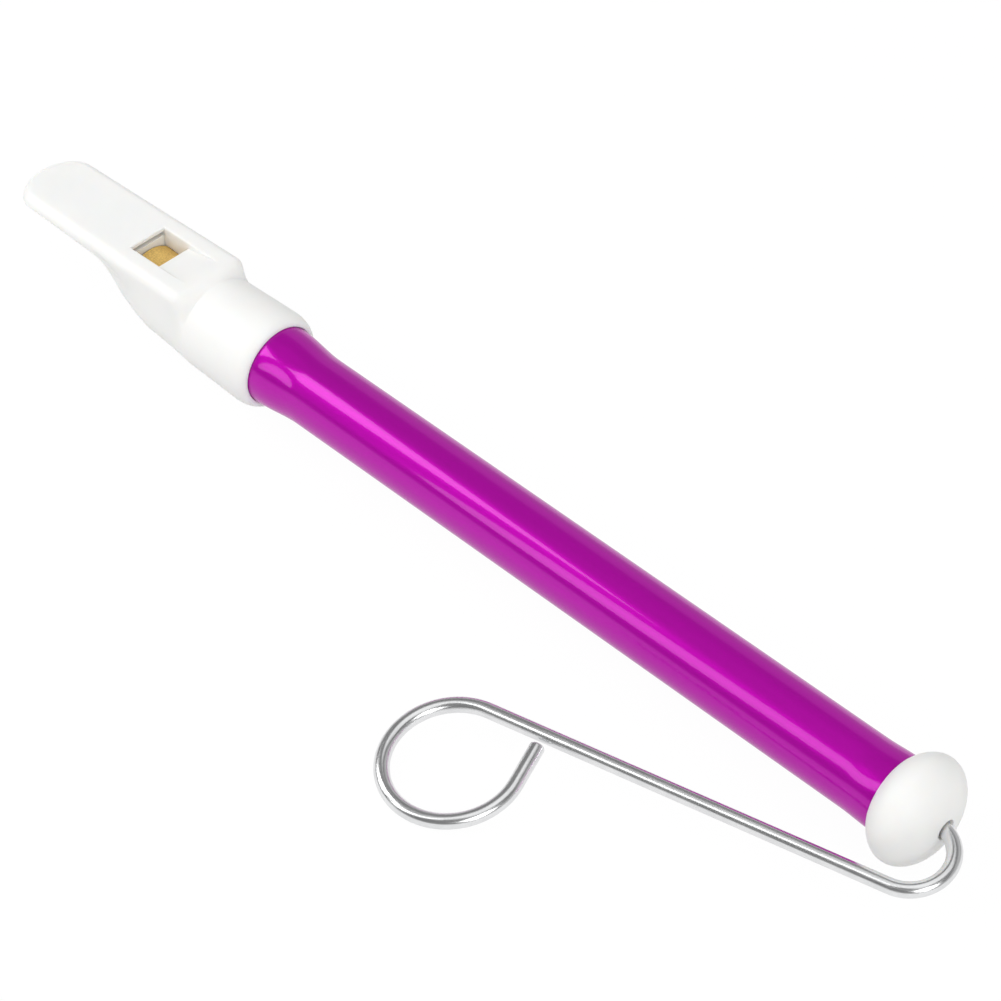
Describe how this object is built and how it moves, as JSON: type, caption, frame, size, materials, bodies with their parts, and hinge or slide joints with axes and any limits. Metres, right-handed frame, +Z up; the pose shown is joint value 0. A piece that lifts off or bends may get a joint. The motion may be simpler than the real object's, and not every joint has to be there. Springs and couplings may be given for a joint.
{
  "type": "slide whistle",
  "caption": "Slide whistle: white beaked mouthpiece with a square window, purple metal tube, ball-shaped end cap and a bent wire slide with a finger loop.",
  "frame": {"origin": "on the surface it lies on, under the middle of the whole outline with the slide pushed in", "axes": "+X along the tube from the mouthpiece to the end cap, +Z up through the window, and the finger loop lies towards -Y"},
  "size_m": [0.2689, 0.0752, 0.0236],
  "materials": {
    "white_plastic": "moulded white plastic, soft gloss",
    "block_plastic": "moulded white plastic, soft gloss",
    "purple_tube": "clear magenta-purple lacquer over a polished metal tube",
    "steel_wire": "bright plated steel wire",
    "turned_wood": "plain turned wood",
    "tan_leather": "smooth tan leather, lightly oiled",
    "washer_brass": "stamped brass",
    "ring_steel": "spring steel"
  },
  "bodies": {
    "whistle": {"mouthpiece": "white_plastic", "fipple_block": "block_plastic", "barrel": "purple_tube", "end_cap": "white_plastic"},
    "plunger": {"plunger_core": "turned_wood", "plunger_leather": "tan_leather", "front_washer": "washer_brass", "rear_washer": "washer_brass"},
    "rod": {"slide_rod": "steel_wire", "retaining_ring": "ring_steel"}
  },
  "joints": [
    {"name": "slide_pull", "type": "slide", "parent": "whistle", "child": "plunger", "axis": [1, 0, 0], "range_m": [0, 0.2]},
    {"name": "loop_turn", "type": "hinge", "parent": "plunger", "child": "rod", "pos_m": [0.09303, 0.02577, 0.0118], "axis": [1, 0, 0], "continuous": true}
  ]
}
